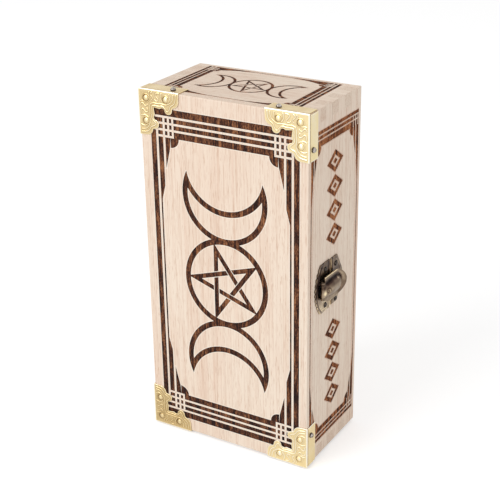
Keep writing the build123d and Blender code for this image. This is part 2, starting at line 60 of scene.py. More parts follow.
# the wooden case without its metalwork
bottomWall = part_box("lid_bottom_wall")
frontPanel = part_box("lid_front_panel")
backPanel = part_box("body_back_panel")
caseLow = Vector((bottomWall[0].x, frontPanel[0].y, backPanel[0].z))
caseHigh = Vector((bottomWall[1].x, backPanel[1].y, backPanel[1].z))
caseMiddle = (caseLow + caseHigh) / 2
caseHalf = (caseHigh - caseLow) / 2
seamY = (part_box("lid_top_wall")[1].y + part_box("body_top_wall")[0].y) / 2


def deselectAll():
    bpy.ops.object.select_all(action="DESELECT")


def srgb(red, green, blue):
    # screen colour 0-255 to the linear colour that the shader wants
    def linear(c):
        c = c / 255
        return c / 12.92 if c <= 0.04045 else ((c + 0.055) / 1.055) ** 2.4
    return (linear(red), linear(green), linear(blue), 1)


def smoothRise(low, high, x):
    t = min(1, max(0, (x - low) / (high - low)))
    return t * t * (3 - 2 * t)


def hill(x, middle, width):
    return math.exp(-((x - middle) / width) ** 2)


def swell(look, x):
    # a strength that comes in between two places
    strength, low, high = look
    return strength * smoothRise(low, high, x)


def glint(look, x):
    # a strength around one place
    strength, middle, width = look
    return strength * hill(x, middle, width)


# camera, light and floor
cameraSettings = {
    "aim": (-4.6 * mm, 4.8 * mm, 105.1 * mm),
    "distance": 0.64,
    "azimuth": 30.943,
    "elevation": 23.84,
    "roll": -0.857,
    "lens": 83.07,
    "sensor": 36,
}
lightSettings = {
    "skyStrength": 0.62,
    "key": {"place": (-0.75, -1.7, 1.15), "size": 1.3, "power": 20},
    "fill": {"place": (1.7, -0.5, 0.9), "size": 1.2, "power": 5},
    "floorColour": (0.83, 0.83, 0.83, 1),
    "floorGlow": 0.4,
    "floorShine": 0.45,
    "floorSize": 12,
}


def makeCamera():
    turn, rise = math.radians(cameraSettings["azimuth"]), math.radians(cameraSettings["elevation"])
    back = Vector((math.sin(turn) * math.cos(rise), -math.cos(turn) * math.cos(rise), math.sin(rise)))
    place = Vector(cameraSettings["aim"]) + back * cameraSettings["distance"]
    bpy.ops.object.camera_add(location=place, rotation=(-back).to_track_quat("-Z", "Y").to_euler())
    camera = bpy.context.object
    camera.name = "photoCamera"
    camera.rotation_euler.rotate_axis("Z", math.radians(cameraSettings["roll"]))
    camera.data.lens = cameraSettings["lens"]
    camera.data.sensor_width = cameraSettings["sensor"]
    bpy.context.scene.camera = camera


def makeSoftbox(name, look):
    aim = Vector(cameraSettings["aim"]) - Vector(look["place"])
    bpy.ops.object.light_add(type="AREA", location=look["place"],
                             rotation=aim.to_track_quat("-Z", "Y").to_euler())
    lamp = bpy.context.object
    lamp.name = name
    lamp.data.shape = "SQUARE"
    lamp.data.size = look["size"]
    lamp.data.energy = look["power"]


def newNode(tree, kind, place=(0, 0), **values):
    # a node with its settings and input values given by name
    made = tree.nodes.new(kind)
    made.location = place
    for key, value in values.items():
        if hasattr(made, key):
            setattr(made, key, value)
        else:
            made.inputs[key].default_value = value
    return made


def makeWorld():
    # white to the camera and in mirrors, softer as light
    world = bpy.data.worlds.new("studio")
    bpy.context.scene.world = world
    world.use_nodes = True
    tree = world.node_tree
    tree.nodes.clear()
    path = newNode(tree, "ShaderNodeLightPath", (-600, 0))
    mirrored = newNode(tree, "ShaderNodeMath", (-400, -160), operation="ADD")
    clear = newNode(tree, "ShaderNodeMath", (-220, 0), operation="ADD", use_clamp=True)
    light = newNode(tree, "ShaderNodeBackground", (-220, -160), Strength=lightSettings["skyStrength"])
    shown = newNode(tree, "ShaderNodeBackground", (-220, -300))
    mix = newNode(tree, "ShaderNodeMixShader", (0, 0))
    out = newNode(tree, "ShaderNodeOutputWorld", (200, 0))
    light.inputs["Color"].default_value = (1, 1, 1, 1)
    shown.inputs["Color"].default_value = (1, 1, 1, 1)
    tree.links.new(path.outputs["Is Glossy Ray"], mirrored.inputs[0])
    tree.links.new(path.outputs["Is Transmission Ray"], mirrored.inputs[1])
    tree.links.new(path.outputs["Is Camera Ray"], clear.inputs[0])
    tree.links.new(mirrored.outputs[0], clear.inputs[1])
    tree.links.new(clear.outputs[0], mix.inputs[0])
    tree.links.new(light.outputs[0], mix.inputs[1])
    tree.links.new(shown.outputs[0], mix.inputs[2])
    tree.links.new(mix.outputs[0], out.inputs[0])


def makeFloor():
    # matt, with a glow that the camera sees in full and the metal in part
    deselectAll()
    bpy.ops.mesh.primitive_plane_add(size=lightSettings["floorSize"], location=(0, 0, cadBox[0].z))
    floor = bpy.context.object
    floor.name = "floor"
    floorPaint = bpy.data.materials.new("floorPaint")
    floorPaint.use_nodes = True
    tree = floorPaint.node_tree
    tree.nodes.clear()
    path = newNode(tree, "ShaderNodeLightPath", (-600, 0))
    seen = newNode(tree, "ShaderNodeMath", (-400, 0), operation="MULTIPLY_ADD")
    seen.inputs[1].default_value = lightSettings["floorShine"]
    glow = newNode(tree, "ShaderNodeEmission", (-200, -100), Strength=lightSettings["floorGlow"])
    dark = newNode(tree, "ShaderNodeEmission", (-200, -240), Strength=0)
    pick = newNode(tree, "ShaderNodeMixShader", (0, -100))
    matt = newNode(tree, "ShaderNodeBsdfDiffuse", (-200, 100), Color=lightSettings["floorColour"])
    both = newNode(tree, "ShaderNodeAddShader", (200, 0))
    out = newNode(tree, "ShaderNodeOutputMaterial", (400, 0))
    tree.links.new(path.outputs["Is Glossy Ray"], seen.inputs[0])
    tree.links.new(path.outputs["Is Camera Ray"], seen.inputs[2])
    tree.links.new(seen.outputs[0], pick.inputs[0])
    tree.links.new(dark.outputs[0], pick.inputs[1])
    tree.links.new(glow.outputs[0], pick.inputs[2])
    tree.links.new(matt.outputs[0], both.inputs[0])
    tree.links.new(pick.outputs[0], both.inputs[1])
    tree.links.new(both.outputs[0], out.inputs["Surface"])
    floor.data.materials.append(floorPaint)


bpy.context.scene.view_settings.view_transform = "Standard"
makeCamera()
makeSoftbox("keySoftbox", lightSettings["key"])
makeSoftbox("fillSoftbox", lightSettings["fill"])
makeWorld()
makeFloor()
print("camera, lights and floor set")


# small helpers for the shader trees
def linked(tree, kind, place, sources, **values):
    # a node whose inputs are fed by the given outputs; gives its first output back
    made = newNode(tree, kind, place, **values)
    for socket, source in sources.items():
        tree.links.new(source, made.inputs[socket])
    return made.outputs[0]


def plain(tree, colour, place):
    made = newNode(tree, "ShaderNodeRGB", place)
    made.outputs[0].default_value = colour
    return made.outputs[0]


def ramp(tree, source, stops, place):
    made = newNode(tree, "ShaderNodeValToRGB", place)
    while len(made.color_ramp.elements) < len(stops):
        made.color_ramp.elements.new(0.5)
    for element, (where, colour) in zip(made.color_ramp.elements, stops):
        element.position = where
        element.color = colour
    tree.links.new(source, made.inputs["Fac"])
    return made.outputs["Color"]


def mixed(tree, factor, a, b, place, blend="MIX"):
    made = newNode(tree, "ShaderNodeMix", place, data_type="RGBA", blend_type=blend)
    if isinstance(factor, (int, float)):
        made.inputs["Factor"].default_value = factor
    else:
        tree.links.new(factor, made.inputs["Factor"])
    tree.links.new(a, made.inputs[6])
    tree.links.new(b, made.inputs[7])
    return made.outputs[2]


def mapRange(tree, source, fromLow, fromHigh, toLow, toHigh, place):
    made = newNode(tree, "ShaderNodeMapRange", place)
    for name, value in (("From Min", fromLow), ("From Max", fromHigh), ("To Min", toLow), ("To Max", toHigh)):
        made.inputs[name].default_value = value
    tree.links.new(source, made.inputs["Value"])
    return made.outputs[0]


def withNumber(tree, source, kind, number, place):
    made = newNode(tree, "ShaderNodeMath", place, operation=kind)
    tree.links.new(source, made.inputs[0])
    made.inputs[1].default_value = number
    return made.outputs[0]


def together(tree, a, b, kind, place):
    return linked(tree, "ShaderNodeMath", place, {0: a, 1: b}, operation=kind)


def times(tree, a, b, place):
    return together(tree, a, b, "MULTIPLY", place)


# wood, bare and burnt
woodSettings = {
    "pale": srgb(242, 225, 207),
    "warm": srgb(231, 203, 182),
    "vein": srgb(203, 166, 140),
    "clean": srgb(255, 247, 233),
    "singed": srgb(176, 104, 52),
    "unstained": (1, 1, 1, 1),
    "endGrain": (0.92, 0.905, 0.89, 1),
    "growthStops": (0.32, 0.5, 0.62, 0.78),
    "veinStops": (0.34, 0.52),
    "tintStops": (0.38, 0.62),
    "poreStops": (0.33, 0.4),
    "panelVeins": 0.4,
    "wallVeins": 0.6,
    "tintShare": 0.3,
    "poreShare": 0.35,
    "burnLevel": (1.12, 1.88),  # the summed noise from darkest to lightest
    "darkBelow": 0.12,  # the burn is darker below this height in metres
    "darkening": 0.12,
    "burnDepth": 0.3 * mm,
    "burnFade": (0.2, 0.7),  # in burn depths
    "burnFloor": 1.8,
    "edgeReach": 0.45 * mm,
    "haloReach": 0.7 * mm,
    "haloFrom": 0.98,
    "haloFull": 0.6,
    "haloShare": 0.9,
    "endHalo": 0.4,
    "thinLine": (0.66, 0.5),
    "skin": 0.5 * mm,
    "fingerReach": 7.6 * mm,
    "seamReach": 0.5 * mm,
    "roughness": (0.6, 0.88),  # bare, burnt
    "specular": 0.2,
    "fibreBump": {"Strength": 0.35, "Distance": 0.06 * mm},
    "streaks": {  # noise drawn out along the grain: stretch, scale, detail, distortion
        "fibres": ((1, 1, 0.02), 1500, 3, 0),
        "growth": ((1, 0.5, 0.04), 230, 2, 0.6),
        "broad": ((1, 1, 0.3), 26, 1, 0),
        "pores": ((1, 1, 0.07), 2600, 1, 0),
        "flecks": ((1, 1, 0.3), 2500, 2, 0),
        "bands": ((1, 1, 0.05), 1700, 2, 0),
        "patches": ((1, 1, 0.2), 420, 1, 0),
    },
    "burnTones": {  # from the darkest fibre to the lightest: front, sides, ends, the ends darker partly as painted shade in the burnt recesses
        "charred": [(0.15, srgb(34, 20, 17)), (0.4, srgb(66, 38, 28)),
                    (0.62, srgb(104, 64, 43)), (0.9, srgb(158, 106, 70))],
        "toasted": [(0.12, srgb(42, 22, 14)), (0.36, srgb(98, 52, 28)),
                    (0.6, srgb(146, 86, 50)), (0.88, srgb(192, 132, 88))],
        "scorchedAndShaded": [(0.2, srgb(26, 14, 11)), (0.45, srgb(72, 38, 24)),
                     (0.7, srgb(122, 72, 44)), (0.92, srgb(176, 118, 80))],
    },
}


def underSkin(tree, coords):
    # how far a point lies under the case's nearest outer face and under the second nearest,
    # and whether the nearest is the front, and whether it is an end
    centred = newNode(tree, "ShaderNodeVectorMath", (-1500, -500), operation="SUBTRACT")
    centred.inputs[1].default_value = caseMiddle
    size = newNode(tree, "ShaderNodeVectorMath", (-1340, -500), operation="ABSOLUTE")
    inside = newNode(tree, "ShaderNodeVectorMath", (-1180, -500), operation="SUBTRACT")
    inside.inputs[1].default_value = caseHalf
    split = newNode(tree, "ShaderNodeSeparateXYZ", (-1020, -500))
    side = newNode(tree, "ShaderNodeSeparateXYZ", (-1340, -700))
    tree.links.new(coords, centred.inputs[0])
    tree.links.new(centred.outputs[0], size.inputs[0])
    tree.links.new(centred.outputs[0], side.inputs[0])
    tree.links.new(size.outputs[0], inside.inputs[0])
    tree.links.new(inside.outputs[0], split.inputs[0])

    x, y, z = split.outputs
    larger = together(tree, x, y, "MAXIMUM", (-860, -420))
    smaller = together(tree, x, y, "MINIMUM", (-860, -580))
    first = together(tree, larger, z, "MAXIMUM", (-700, -420))
    second = together(tree, larger, z, "MINIMUM", (-700, -580))
    second = together(tree, smaller, second, "MAXIMUM", (-540, -580))
    widest = together(tree, x, z, "MAXIMUM", (-860, -740))
    nearY = together(tree, y, widest, "GREATER_THAN", (-700, -740))
    ahead = withNumber(tree, side.outputs[1], "LESS_THAN", 0, (-1180, -700))
    onFront = times(tree, nearY, ahead, (-540, -740))
    onEnd = together(tree, z, larger, "GREATER_THAN", (-540, -860))
    return first, second, onFront, onEnd


def streaks(tree, placed, kind, place):
    stretch, scale, detail, distortion = woodSettings["streaks"][kind]
    long = newNode(tree, "ShaderNodeMapping", place, Scale=stretch)
    tree.links.new(placed, long.inputs["Vector"])
    return linked(tree, "ShaderNodeTexNoise", (place[0] + 180, place[1]), {"Vector": long.outputs[0]},
                  Scale=scale, Detail=detail, Distortion=distortion)


def bareWood(tree, placed, fibres, jointed):
    # broad tint, growth lines, fine fibres and short dark pores
    look = woodSettings
    warm, pale, vein = look["warm"], look["pale"], look["vein"]
    growth = streaks(tree, placed, "growth", (-1450, 100))
    broad = streaks(tree, placed, "broad", (-1450, -100))
    pores = streaks(tree, placed, "pores", (-1450, 500))
    bare = ramp(tree, growth, list(zip(look["growthStops"], (warm, pale, pale, warm))), (-1000, 200))
    veins = ramp(tree, fibres, list(zip(look["veinStops"], (vein, pale))), (-1000, 400))
    bare = mixed(tree, look["wallVeins" if jointed else "panelVeins"], bare, veins, (-700, 300))
    tint = ramp(tree, broad, list(zip(look["tintStops"], (warm, pale))), (-1000, 0))
    bare = mixed(tree, look["tintShare"], bare, tint, (-520, 200))
    specks = ramp(tree, pores, list(zip(look["poreStops"], (vein, look["unstained"]))), (-1000, 600))
    return mixed(tree, look["poreShare"], bare, specks, (-420, 400), "MULTIPLY")


def burntWood(tree, placed, height, onFront, onEnd):
    # short flecks, long streaks and slow patches, darker lower down
    look = woodSettings
    flecks = streaks(tree, placed, "flecks", (-1450, -250))
    bands = streaks(tree, placed, "bands", (-1450, -400))
    patches = streaks(tree, placed, "patches", (-1450, -550))
    level = together(tree, flecks, bands, "ADD", (-1200, -250))
    level = together(tree, level, patches, "ADD", (-1100, -250))
    level = mapRange(tree, level, *look["burnLevel"], 0, 1, (-1080, -150))
    deeper = mapRange(tree, height, look["darkBelow"], 0, 0, look["darkening"], (-1200, 850))
    level = together(tree, level, deeper, "SUBTRACT", (-1000, -50))
    charred, toasted, scorchedAndShaded = (ramp(tree, level, stops, (-1000, -200))
                                  for stops in look["burnTones"].values())
    longFaces = mixed(tree, onFront, toasted, charred, (-840, -200))
    # the ends' burns are darker, partly painted shade in the recesses
    return mixed(tree, onEnd, longFaces, scorchedAndShaded, (-700, -200))


def withEndGrain(tree, bare, grain, first, onEnd):
    # the ends of a wall's fingers are a little darker
    look = woodSettings
    across = onEnd if grain == "Z" else withNumber(tree, onEnd, "LESS_THAN", 0.5, (-840, 700))
    skin = withNumber(tree, first, "GREATER_THAN", -look["skin"], (-840, 820))
    tone = plain(tree, look["endGrain"], (-680, 900))
    return mixed(tree, times(tree, across, skin, (-680, 760)), bare, tone, (-520, 800), "MULTIPLY")


def awayFromJoints(tree, depth, second):
    # 1 where no finger joint or seam is near, so that no halo forms there
    look = woodSettings
    clear = withNumber(tree, second, "LESS_THAN", -look["fingerReach"], (-180, 700))
    fromSeam = withNumber(tree, depth, "SUBTRACT", seamY, (-350, 850))
    fromSeam = linked(tree, "ShaderNodeMath", (-200, 850), {0: fromSeam}, operation="ABSOLUTE")
    offSeam = withNumber(tree, fromSeam, "GREATER_THAN", look["seamReach"], (-50, 850))
    return times(tree, clear, offSeam, (60, 700))


def woodMaterial(name, grain, shift, jointed):
    look = woodSettings
    material = bpy.data.materials.new(name)
    material.use_nodes = True
    tree = material.node_tree
    shader = tree.nodes["Principled BSDF"]
    coords = newNode(tree, "ShaderNodeTexCoord", (-1900, 0)).outputs["Object"]
    turn = (0, math.radians(90), 0) if grain == "X" else (0, 0, 0)
    placed = newNode(tree, "ShaderNodeMapping", (-1700, 0), Rotation=turn, Location=shift)
    tree.links.new(coords, placed.inputs["Vector"])
    placed = placed.outputs[0]
    spot = newNode(tree, "ShaderNodeSeparateXYZ", (-1400, 850))
    tree.links.new(coords, spot.inputs[0])
    first, second, onFront, onEnd = underSkin(tree, coords)
    fibres = streaks(tree, placed, "fibres", (-1450, 300))
    bare = bareWood(tree, placed, fibres, jointed)
    if jointed:
        bare = withEndGrain(tree, bare, grain, first, onEnd)
    burnt = burntWood(tree, placed, spot.outputs[2], onFront, onEnd)

    depth = look["burnDepth"]
    fadeFrom, fadeTo = look["burnFade"]
    sunk = mapRange(tree, first, -fadeFrom * depth, -fadeTo * depth, 0, 1, (-350, -300))
    shallow = withNumber(tree, first, "GREATER_THAN", -look["burnFloor"] * depth, (-350, -520))
    flat = withNumber(tree, second, "LESS_THAN", -look["edgeReach"], (-350, -680))
    burn = times(tree, times(tree, sunk, shallow, (-180, -400)), flat, (-20, -400))

    # close to a burn the wood is singed orange, but thin lines and the front are wiped clean and pale
    scorch = newNode(tree, "ShaderNodeAmbientOcclusion", (-600, 700), inside=True, only_local=True, samples=8)
    scorch.inputs["Distance"].default_value = look["haloReach"]
    scorch = scorch.outputs["AO"]
    halo = mapRange(tree, scorch, look["haloFrom"], look["haloFull"], 0, look["haloShare"], (-180, 500))
    halo = times(tree, halo, flat, (0, 500))
    halo = times(tree, halo, mapRange(tree, onEnd, 0, 1, 1, look["endHalo"], (-180, 600)), (80, 500))
    if jointed:
        halo = times(tree, halo, awayFromJoints(tree, spot.outputs[1], second), (100, 600))
    clean = plain(tree, look["clean"], (-520, 240))
    thin = mapRange(tree, scorch, *look["thinLine"], 0, 1, (-520, 340))
    edge = mixed(tree, thin, plain(tree, look["singed"], (-520, 300)), clean, (-350, 300))
    edge = mixed(tree, onFront, edge, clean, (-180, 300))
    bare = mixed(tree, halo, bare, edge, (160, 300))
    tree.links.new(mixed(tree, burn, bare, burnt, (320, 100)), shader.inputs["Base Color"])

    rough = mapRange(tree, burn, 0, 1, *look["roughness"], (320, -200))
    tree.links.new(rough, shader.inputs["Roughness"])
    shader.inputs["Specular IOR Level"].default_value = look["specular"]
    bump = newNode(tree, "ShaderNodeBump", (320, -400), **look["fibreBump"])
    tree.links.new(fibres, bump.inputs["Height"])
    tree.links.new(bump.outputs[0], shader.inputs["Normal"])
    return material


def paint(piece, material):
    piece.data.materials.clear()
    piece.data.materials.append(material)


# each wooden piece's grain direction and its own place in the grain pattern
woodPieces = {
    "lid_front_panel": ("Z", (0, 0, 0)),
    "body_back_panel": ("Z", (0.31, 0.2, 0.07)),
    "lid_left_wall": ("Z", (0.5, 0.14, 0.3)),
    "lid_right_wall": ("Z", (0.73, 0.37, 0.11)),
    "body_left_wall": ("Z", (0.9, 0.61, 0.43)),
    "body_right_wall": ("Z", (1.12, 0.83, 0.19)),
    "lid_top_wall": ("X", (0.17, 1.1, 0.53)),
    "lid_bottom_wall": ("X", (0.43, 1.3, 0.71)),
    "body_top_wall": ("X", (0.67, 1.5, 0.87)),
    "body_bottom_wall": ("X", (0.97, 1.7, 0.99)),
}
for nodeName, (grain, shift) in woodPieces.items():
    paint(nodes[nodeName], woodMaterial("wood_" + nodeName, grain, shift, "panel" not in nodeName))
print("wood painted")


# metal: pressed pieces carry a value of wear and painted light and shade that picks their tone, the others
# have two patchy tones;
# shade is painted shade with dark patina in hollows: how open a hollow is where it starts to darken, where it
# is darkest, and how strongly
metalSettings = {
    "brass": {
        "tones": [(0, srgb(98, 64, 36)), (0.3, srgb(190, 160, 106)), (0.6, srgb(234, 213, 166)),
                  (0.8, srgb(250, 230, 178)), (1, srgb(255, 250, 236))],
        "hollow": srgb(150, 112, 66), "rough": 0.32, "grit": 0.08, "patch": 90, "shade": (0.8, 0.35, 0.6),
    },
    "bronze": {
        "tones": [(0, srgb(22, 16, 15)), (0.3, srgb(66, 48, 42)), (0.55, srgb(122, 103, 86)),
                  (0.78, srgb(178, 158, 134)), (1, srgb(252, 232, 192))],
        "hollow": srgb(26, 20, 18), "rough": 0.3, "grit": 0.12, "patch": 300, "shade": (0.85, 0.3, 0.9),
    },
    "hingeBronze": {
        "tones": [(0.36, srgb(104, 90, 76)), (0.6, srgb(160, 142, 122))],
        "hollow": srgb(26, 20, 18), "rough": 0.3, "grit": 0.12, "patch": 300, "shade": (0.9, 0.35, 0.95),
    },
    "nailSteel": {
        "tones": [(0.36, srgb(104, 92, 84)), (0.6, srgb(196, 188, 180))],
        "hollow": srgb(46, 32, 26), "rough": 0.2, "grit": 0.05, "patch": 400, "shade": (0.97, 0.72, 1),
    },
    "darkNail": {
        "tones": [(0.36, srgb(36, 30, 27)), (0.6, srgb(84, 76, 70))],
        "hollow": srgb(14, 11, 10), "rough": 0.2, "grit": 0.05, "patch": 500, "shade": (0.97, 0.74, 1),
    },
    "patinaAndShade": {
        "patchRange": (0.3, 0.7),
        "stir": 0.07,
        "duller": 0.08,
        "shinier": 0.06,
        # how far the painted shade in hollows reaches
        "hollowReach": 1.2 * mm,
        "gritScale": 1800,
        "gritDepth": 0.1 * mm,
    },
}


def metalMaterial(name, look, withWearAndLight=False):
    patinaAndShade = metalSettings["patinaAndShade"]
    material = bpy.data.materials.new(name)
    material.use_nodes = True
    tree = material.node_tree
    shader = tree.nodes["Principled BSDF"]
    shader.inputs["Metallic"].default_value = 1
    coords = newNode(tree, "ShaderNodeTexCoord", (-1300, 0)).outputs["Object"]
    patches = linked(tree, "ShaderNodeTexNoise", (-1100, 0), {"Vector": coords},
                     Scale=look["patch"], Detail=4)
    tone = patches
    if withWearAndLight:
        # the value of wear and painted light and shade picks the tone
        wearAndPaintedLight = newNode(tree, "ShaderNodeAttribute", (-1300, -200), attribute_name="wearAndPaintedLight").outputs["Fac"]
        stir = mapRange(tree, patches, *patinaAndShade["patchRange"], -patinaAndShade["stir"], patinaAndShade["stir"], (-1100, -200))
        tone = together(tree, wearAndPaintedLight, stir, "ADD", (-900, -200))
    colour = ramp(tree, tone, look["tones"], (-800, 0))
    hollow = plain(tree, look["hollow"], (-900, 220))
    # painted shade with dark patina: hollows and spots beside other parts go towards the hollow colour
    shade = newNode(tree, "ShaderNodeAmbientOcclusion", (-1100, 300), samples=8)
    shade.inputs["Distance"].default_value = patinaAndShade["hollowReach"]
    openAt, closedAt, strength = look["shade"]
    sunk = mapRange(tree, shade.outputs["AO"], openAt, closedAt, 0, strength, (-900, 400))
    tree.links.new(mixed(tree, sunk, colour, hollow, (-500, 100)), shader.inputs["Base Color"])
    dull, shiny = look["rough"] + patinaAndShade["duller"], look["rough"] - patinaAndShade["shinier"]
    rough = mapRange(tree, patches, *patinaAndShade["patchRange"], dull, shiny, (-500, -250))
    tree.links.new(rough, shader.inputs["Roughness"])
    grit = linked(tree, "ShaderNodeTexNoise", (-700, -650), {"Vector": coords},
                  Scale=patinaAndShade["gritScale"], Detail=2)
    bump = newNode(tree, "ShaderNodeBump", (-300, -450), Strength=look["grit"], Distance=patinaAndShade["gritDepth"])
    tree.links.new(grit, bump.inputs["Height"])
    tree.links.new(bump.outputs[0], shader.inputs["Normal"])
    return material


# modelling helpers
def useOnly(thing):
    deselectAll()
    thing.select_set(True)
    bpy.context.view_layer.objects.active = thing


def turnOutwards(thing):
    useOnly(thing)
    bpy.ops.object.mode_set(mode="EDIT")
    bpy.ops.mesh.select_all(action="SELECT")
    bpy.ops.mesh.normals_make_consistent(inside=False)
    bpy.ops.object.mode_set(mode="OBJECT")


def copyOfNode(nodeName, name):
    # a CAD piece's own shape as a new object, its loose triangles merged
    thing = bpy.data.objects.new(name, nodes[nodeName].data.copy())
    bpy.context.collection.objects.link(thing)
    useOnly(thing)
    bpy.ops.object.mode_set(mode="EDIT")
    bpy.ops.mesh.select_all(action="SELECT")
    bpy.ops.mesh.remove_doubles(threshold=0.001 * mm)
    bpy.ops.object.mode_set(mode="OBJECT")
    return thing


def bead(points, radius):
    # a round bead along a smooth line, as a mesh
    deselectAll()
    bpy.ops.curve.primitive_nurbs_path_add()
    line = bpy.context.object
    line.data.splines.clear()
    spline = line.data.splines.new("NURBS")
    spline.points.add(len(points) - 1)
    for spot, place in zip(spline.points, points):
        spot.co = (*place, 1)
    spline.order_u = 3
    spline.use_endpoint_u = True
    line.data.resolution_u = 8
    line.data.bevel_depth = radius
    line.data.bevel_resolution = 2
    line.data.use_fill_caps = True
    bpy.ops.object.convert(target="MESH")
    return bpy.context.object


def ring(place, normal, radius, thickness):
    deselectAll()
    turned = Vector(normal).to_track_quat("Z", "Y").to_euler()
    bpy.ops.mesh.primitive_torus_add(location=place, rotation=turned, major_radius=radius,
                                     minor_radius=thickness, major_segments=40, minor_segments=10)
    return bpy.context.object


def applyAll(thing):
    useOnly(thing)
    bpy.ops.object.transform_apply(location=True, rotation=True, scale=True)


def markBends(thing, step):
    # how far each point stands out from its neighbours, in voxels: above 0 on ridges, below 0 in grooves
    mesh = thing.data
    drift = [Vector() for vertex in mesh.vertices]
    ends = [tuple(edge.vertices) for edge in mesh.edges]
    count = [0] * len(drift)
    for a, b in ends:
        gap = mesh.vertices[b].co - mesh.vertices[a].co
        drift[a] += gap
        drift[b] -= gap
        count[a] += 1
        count[b] += 1
    bends = [-move.dot(vertex.normal) / (max(n, 1) * step)
             for move, vertex, n in zip(drift, mesh.vertices, count)]
    total = [2 * bend for bend in bends]
    for a, b in ends:
        total[a] += bends[b]
        total[b] += bends[a]
    kept = mesh.attributes.new("bend", "FLOAT", "POINT")
    for spot, whole, n in zip(kept.data, total, count):
        spot.value = whole / (n + 2)


def setWearAndPaintedLight(piece, wearAndLightAt, ridges):
    # a value of wear and painted light for each point, by its place in mm, with ridges painted lighter and
    # grooves darker by how much they stand out
    mesh = piece.data
    bends = [spot.value for spot in mesh.attributes["bend"].data]
    wearAndPaintedLight = mesh.attributes.new("wearAndPaintedLight", "FLOAT", "POINT")
    for spot, vertex, bend in zip(wearAndPaintedLight.data, mesh.vertices, bends):
        spot.value = min(1, max(0, wearAndLightAt(*(vertex.co / mm)) + ridges * bend))
    mesh.attributes.remove(mesh.attributes["bend"])


def fuse(parts, name, look):
    # join the parts into one skin, soften it as pressed sheet and thin the mesh
    for part in parts:
        applyAll(part)
    deselectAll()
    for part in parts:
        part.select_set(True)
    bpy.context.view_layer.objects.active = parts[0]
    bpy.ops.object.join()
    thing = bpy.context.object
    thing.name = name
    useOnly(thing)
    remesh = thing.modifiers.new("fuse", "REMESH")
    remesh.mode = "VOXEL"
    remesh.voxel_size = look["voxel"]
    bpy.ops.object.modifier_apply(modifier="fuse")
    soften = thing.modifiers.new("soften", "SMOOTH")
    soften.iterations = look["passes"]
    soften.factor = 0.5
    bpy.ops.object.modifier_apply(modifier="soften")
    markBends(thing, look["voxel"])
    thin = thing.modifiers.new("thin", "DECIMATE")
    thin.ratio = look["keep"]
    bpy.ops.object.modifier_apply(modifier="thin")
    bpy.ops.object.shade_smooth()
    return thing


# the stamped corners: relief lines drawn on the upper right corner, then mirrored to the others;
# the lines' points lie along from the corner's outer edge and down from its end, in mm
bracketSettings = {
    "voxel": 0.15 * mm,
    "passes": 3,
    "keep": 0.45,
    "ridges": 4.2,  # how much a ridge is painted lighter and a groove painted darker
    "contour": [(23.4, 1.3), (23.2, 4.3), (22.2, 6.3), (19.9, 7.5), (19.3, 9.5), (18.0, 11.0), (16.6, 9.4),
                (15.6, 8.3), (14.2, 8.0), (12.6, 8.5), (10.2, 8.3), (8.6, 8.6)],
    "inner": [(21.9, 1.5), (21.7, 3.9), (20.6, 5.4), (18.8, 6.6), (17.2, 7.3), (14.6, 6.8), (12.2, 7.2),
              (9.6, 6.8), (7.6, 7.6)],
    "scrolls": [
        [(13.2, 1.5), (11.5, 1.4), (10.7, 2.6), (11.6, 3.7),
         (12.6, 4.6), (12.2, 5.8), (10.8, 5.9), (10.3, 5.1)],
        [(8.9, 1.3), (7.6, 1.9), (7.9, 3.1), (9.0, 3.8), (9.2, 4.9), (8.3, 5.6)],
        [(14.6, 1.4), (13.9, 2.9), (14.2, 4.6), (15.2, 6.0)],
        [(19.4, 1.3), (20.0, 2.7), (19.7, 4.4), (18.5, 5.6)],
        [(6.9, 1.3), (6.4, 2.5), (7.1, 3.7), (6.6, 4.9)],
    ],
    "contourBead": 0.24 * mm,
    "scrollBead": 0.22 * mm,
    "bosses": [(4.9, 4.9), (17.1, 4.5), (4.5, 17.1)],
    "bossRing": (2.1 * mm, 0.16 * mm),
    "sheet": 0.6 * mm,
    "tones": {  # of the painted light and shade, 0 darkest and 1 brightest, placed in mm
        "rightFace": (0.66, 0.1),  # the right faces' painted tone at mid height, and how much lighter they are painted lower down
        # the left faces are painted darker, and darker lower down
        "leftFace": (0.5, -0.06),
        # painted highlight along the outer edges
        "outerEdge": (0.35, 0.2, 0.45),
        "flangeFrom": 0.1,
        "wallFlange": (0.8, 0.8),  # the flange's painted tone, lit on the side walls and shaded on the ends, and how dark its bend is painted
        "endFlange": (0.5, 0.35),
        # painted highlight along the fold, painted shade in the flange's bend and in the corner where the
        # flanges meet
        "flangeEdge": (0.15, 0, 0.5),
        "flangeBend": (0.35, 0.3),
        "flangeCorner": (0.7, 0.5, 0.4),
        # painted shade on one side of each boss and a painted glint on the other
        "bossShade": (0.42, 1.75, 0.45),
        "bossLean": (0.6, 0.4),
        "bossCore": 0.1,
        "bossGlint": (0.34, 0.4, 0.4),
        "bossGlintRise": (1, 0.2, 0.7),
    },
}


def buildCornerRelief():
    look = bracketSettings
    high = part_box("bracket_top_right")[1]
    corner = Vector((high.x, caseLow.y - look["sheet"], high.z))

    def onPlate(point, swapped=False):
        along, down = (point[1], point[0]) if swapped else point
        return (corner.x - along * mm, corner.y, corner.z - down * mm)

    parts = [copyOfNode("bracket_top_right", "cornerRelief")]
    for points, radius in ((look["contour"], look["contourBead"]), (look["inner"], look["scrollBead"])):
        whole = [onPlate(p) for p in points] + [onPlate(p, True) for p in reversed(points)]
        parts.append(bead(whole, radius))
    for points in look["scrolls"]:
        for swapped in (False, True):
            parts.append(bead([onPlate(p, swapped) for p in points], look["scrollBead"]))
    for spot in look["bosses"]:
        parts.append(ring(onPlate(spot), (0, -1, 0), *look["bossRing"]))
    return fuse(parts, "cornerRelief", look)


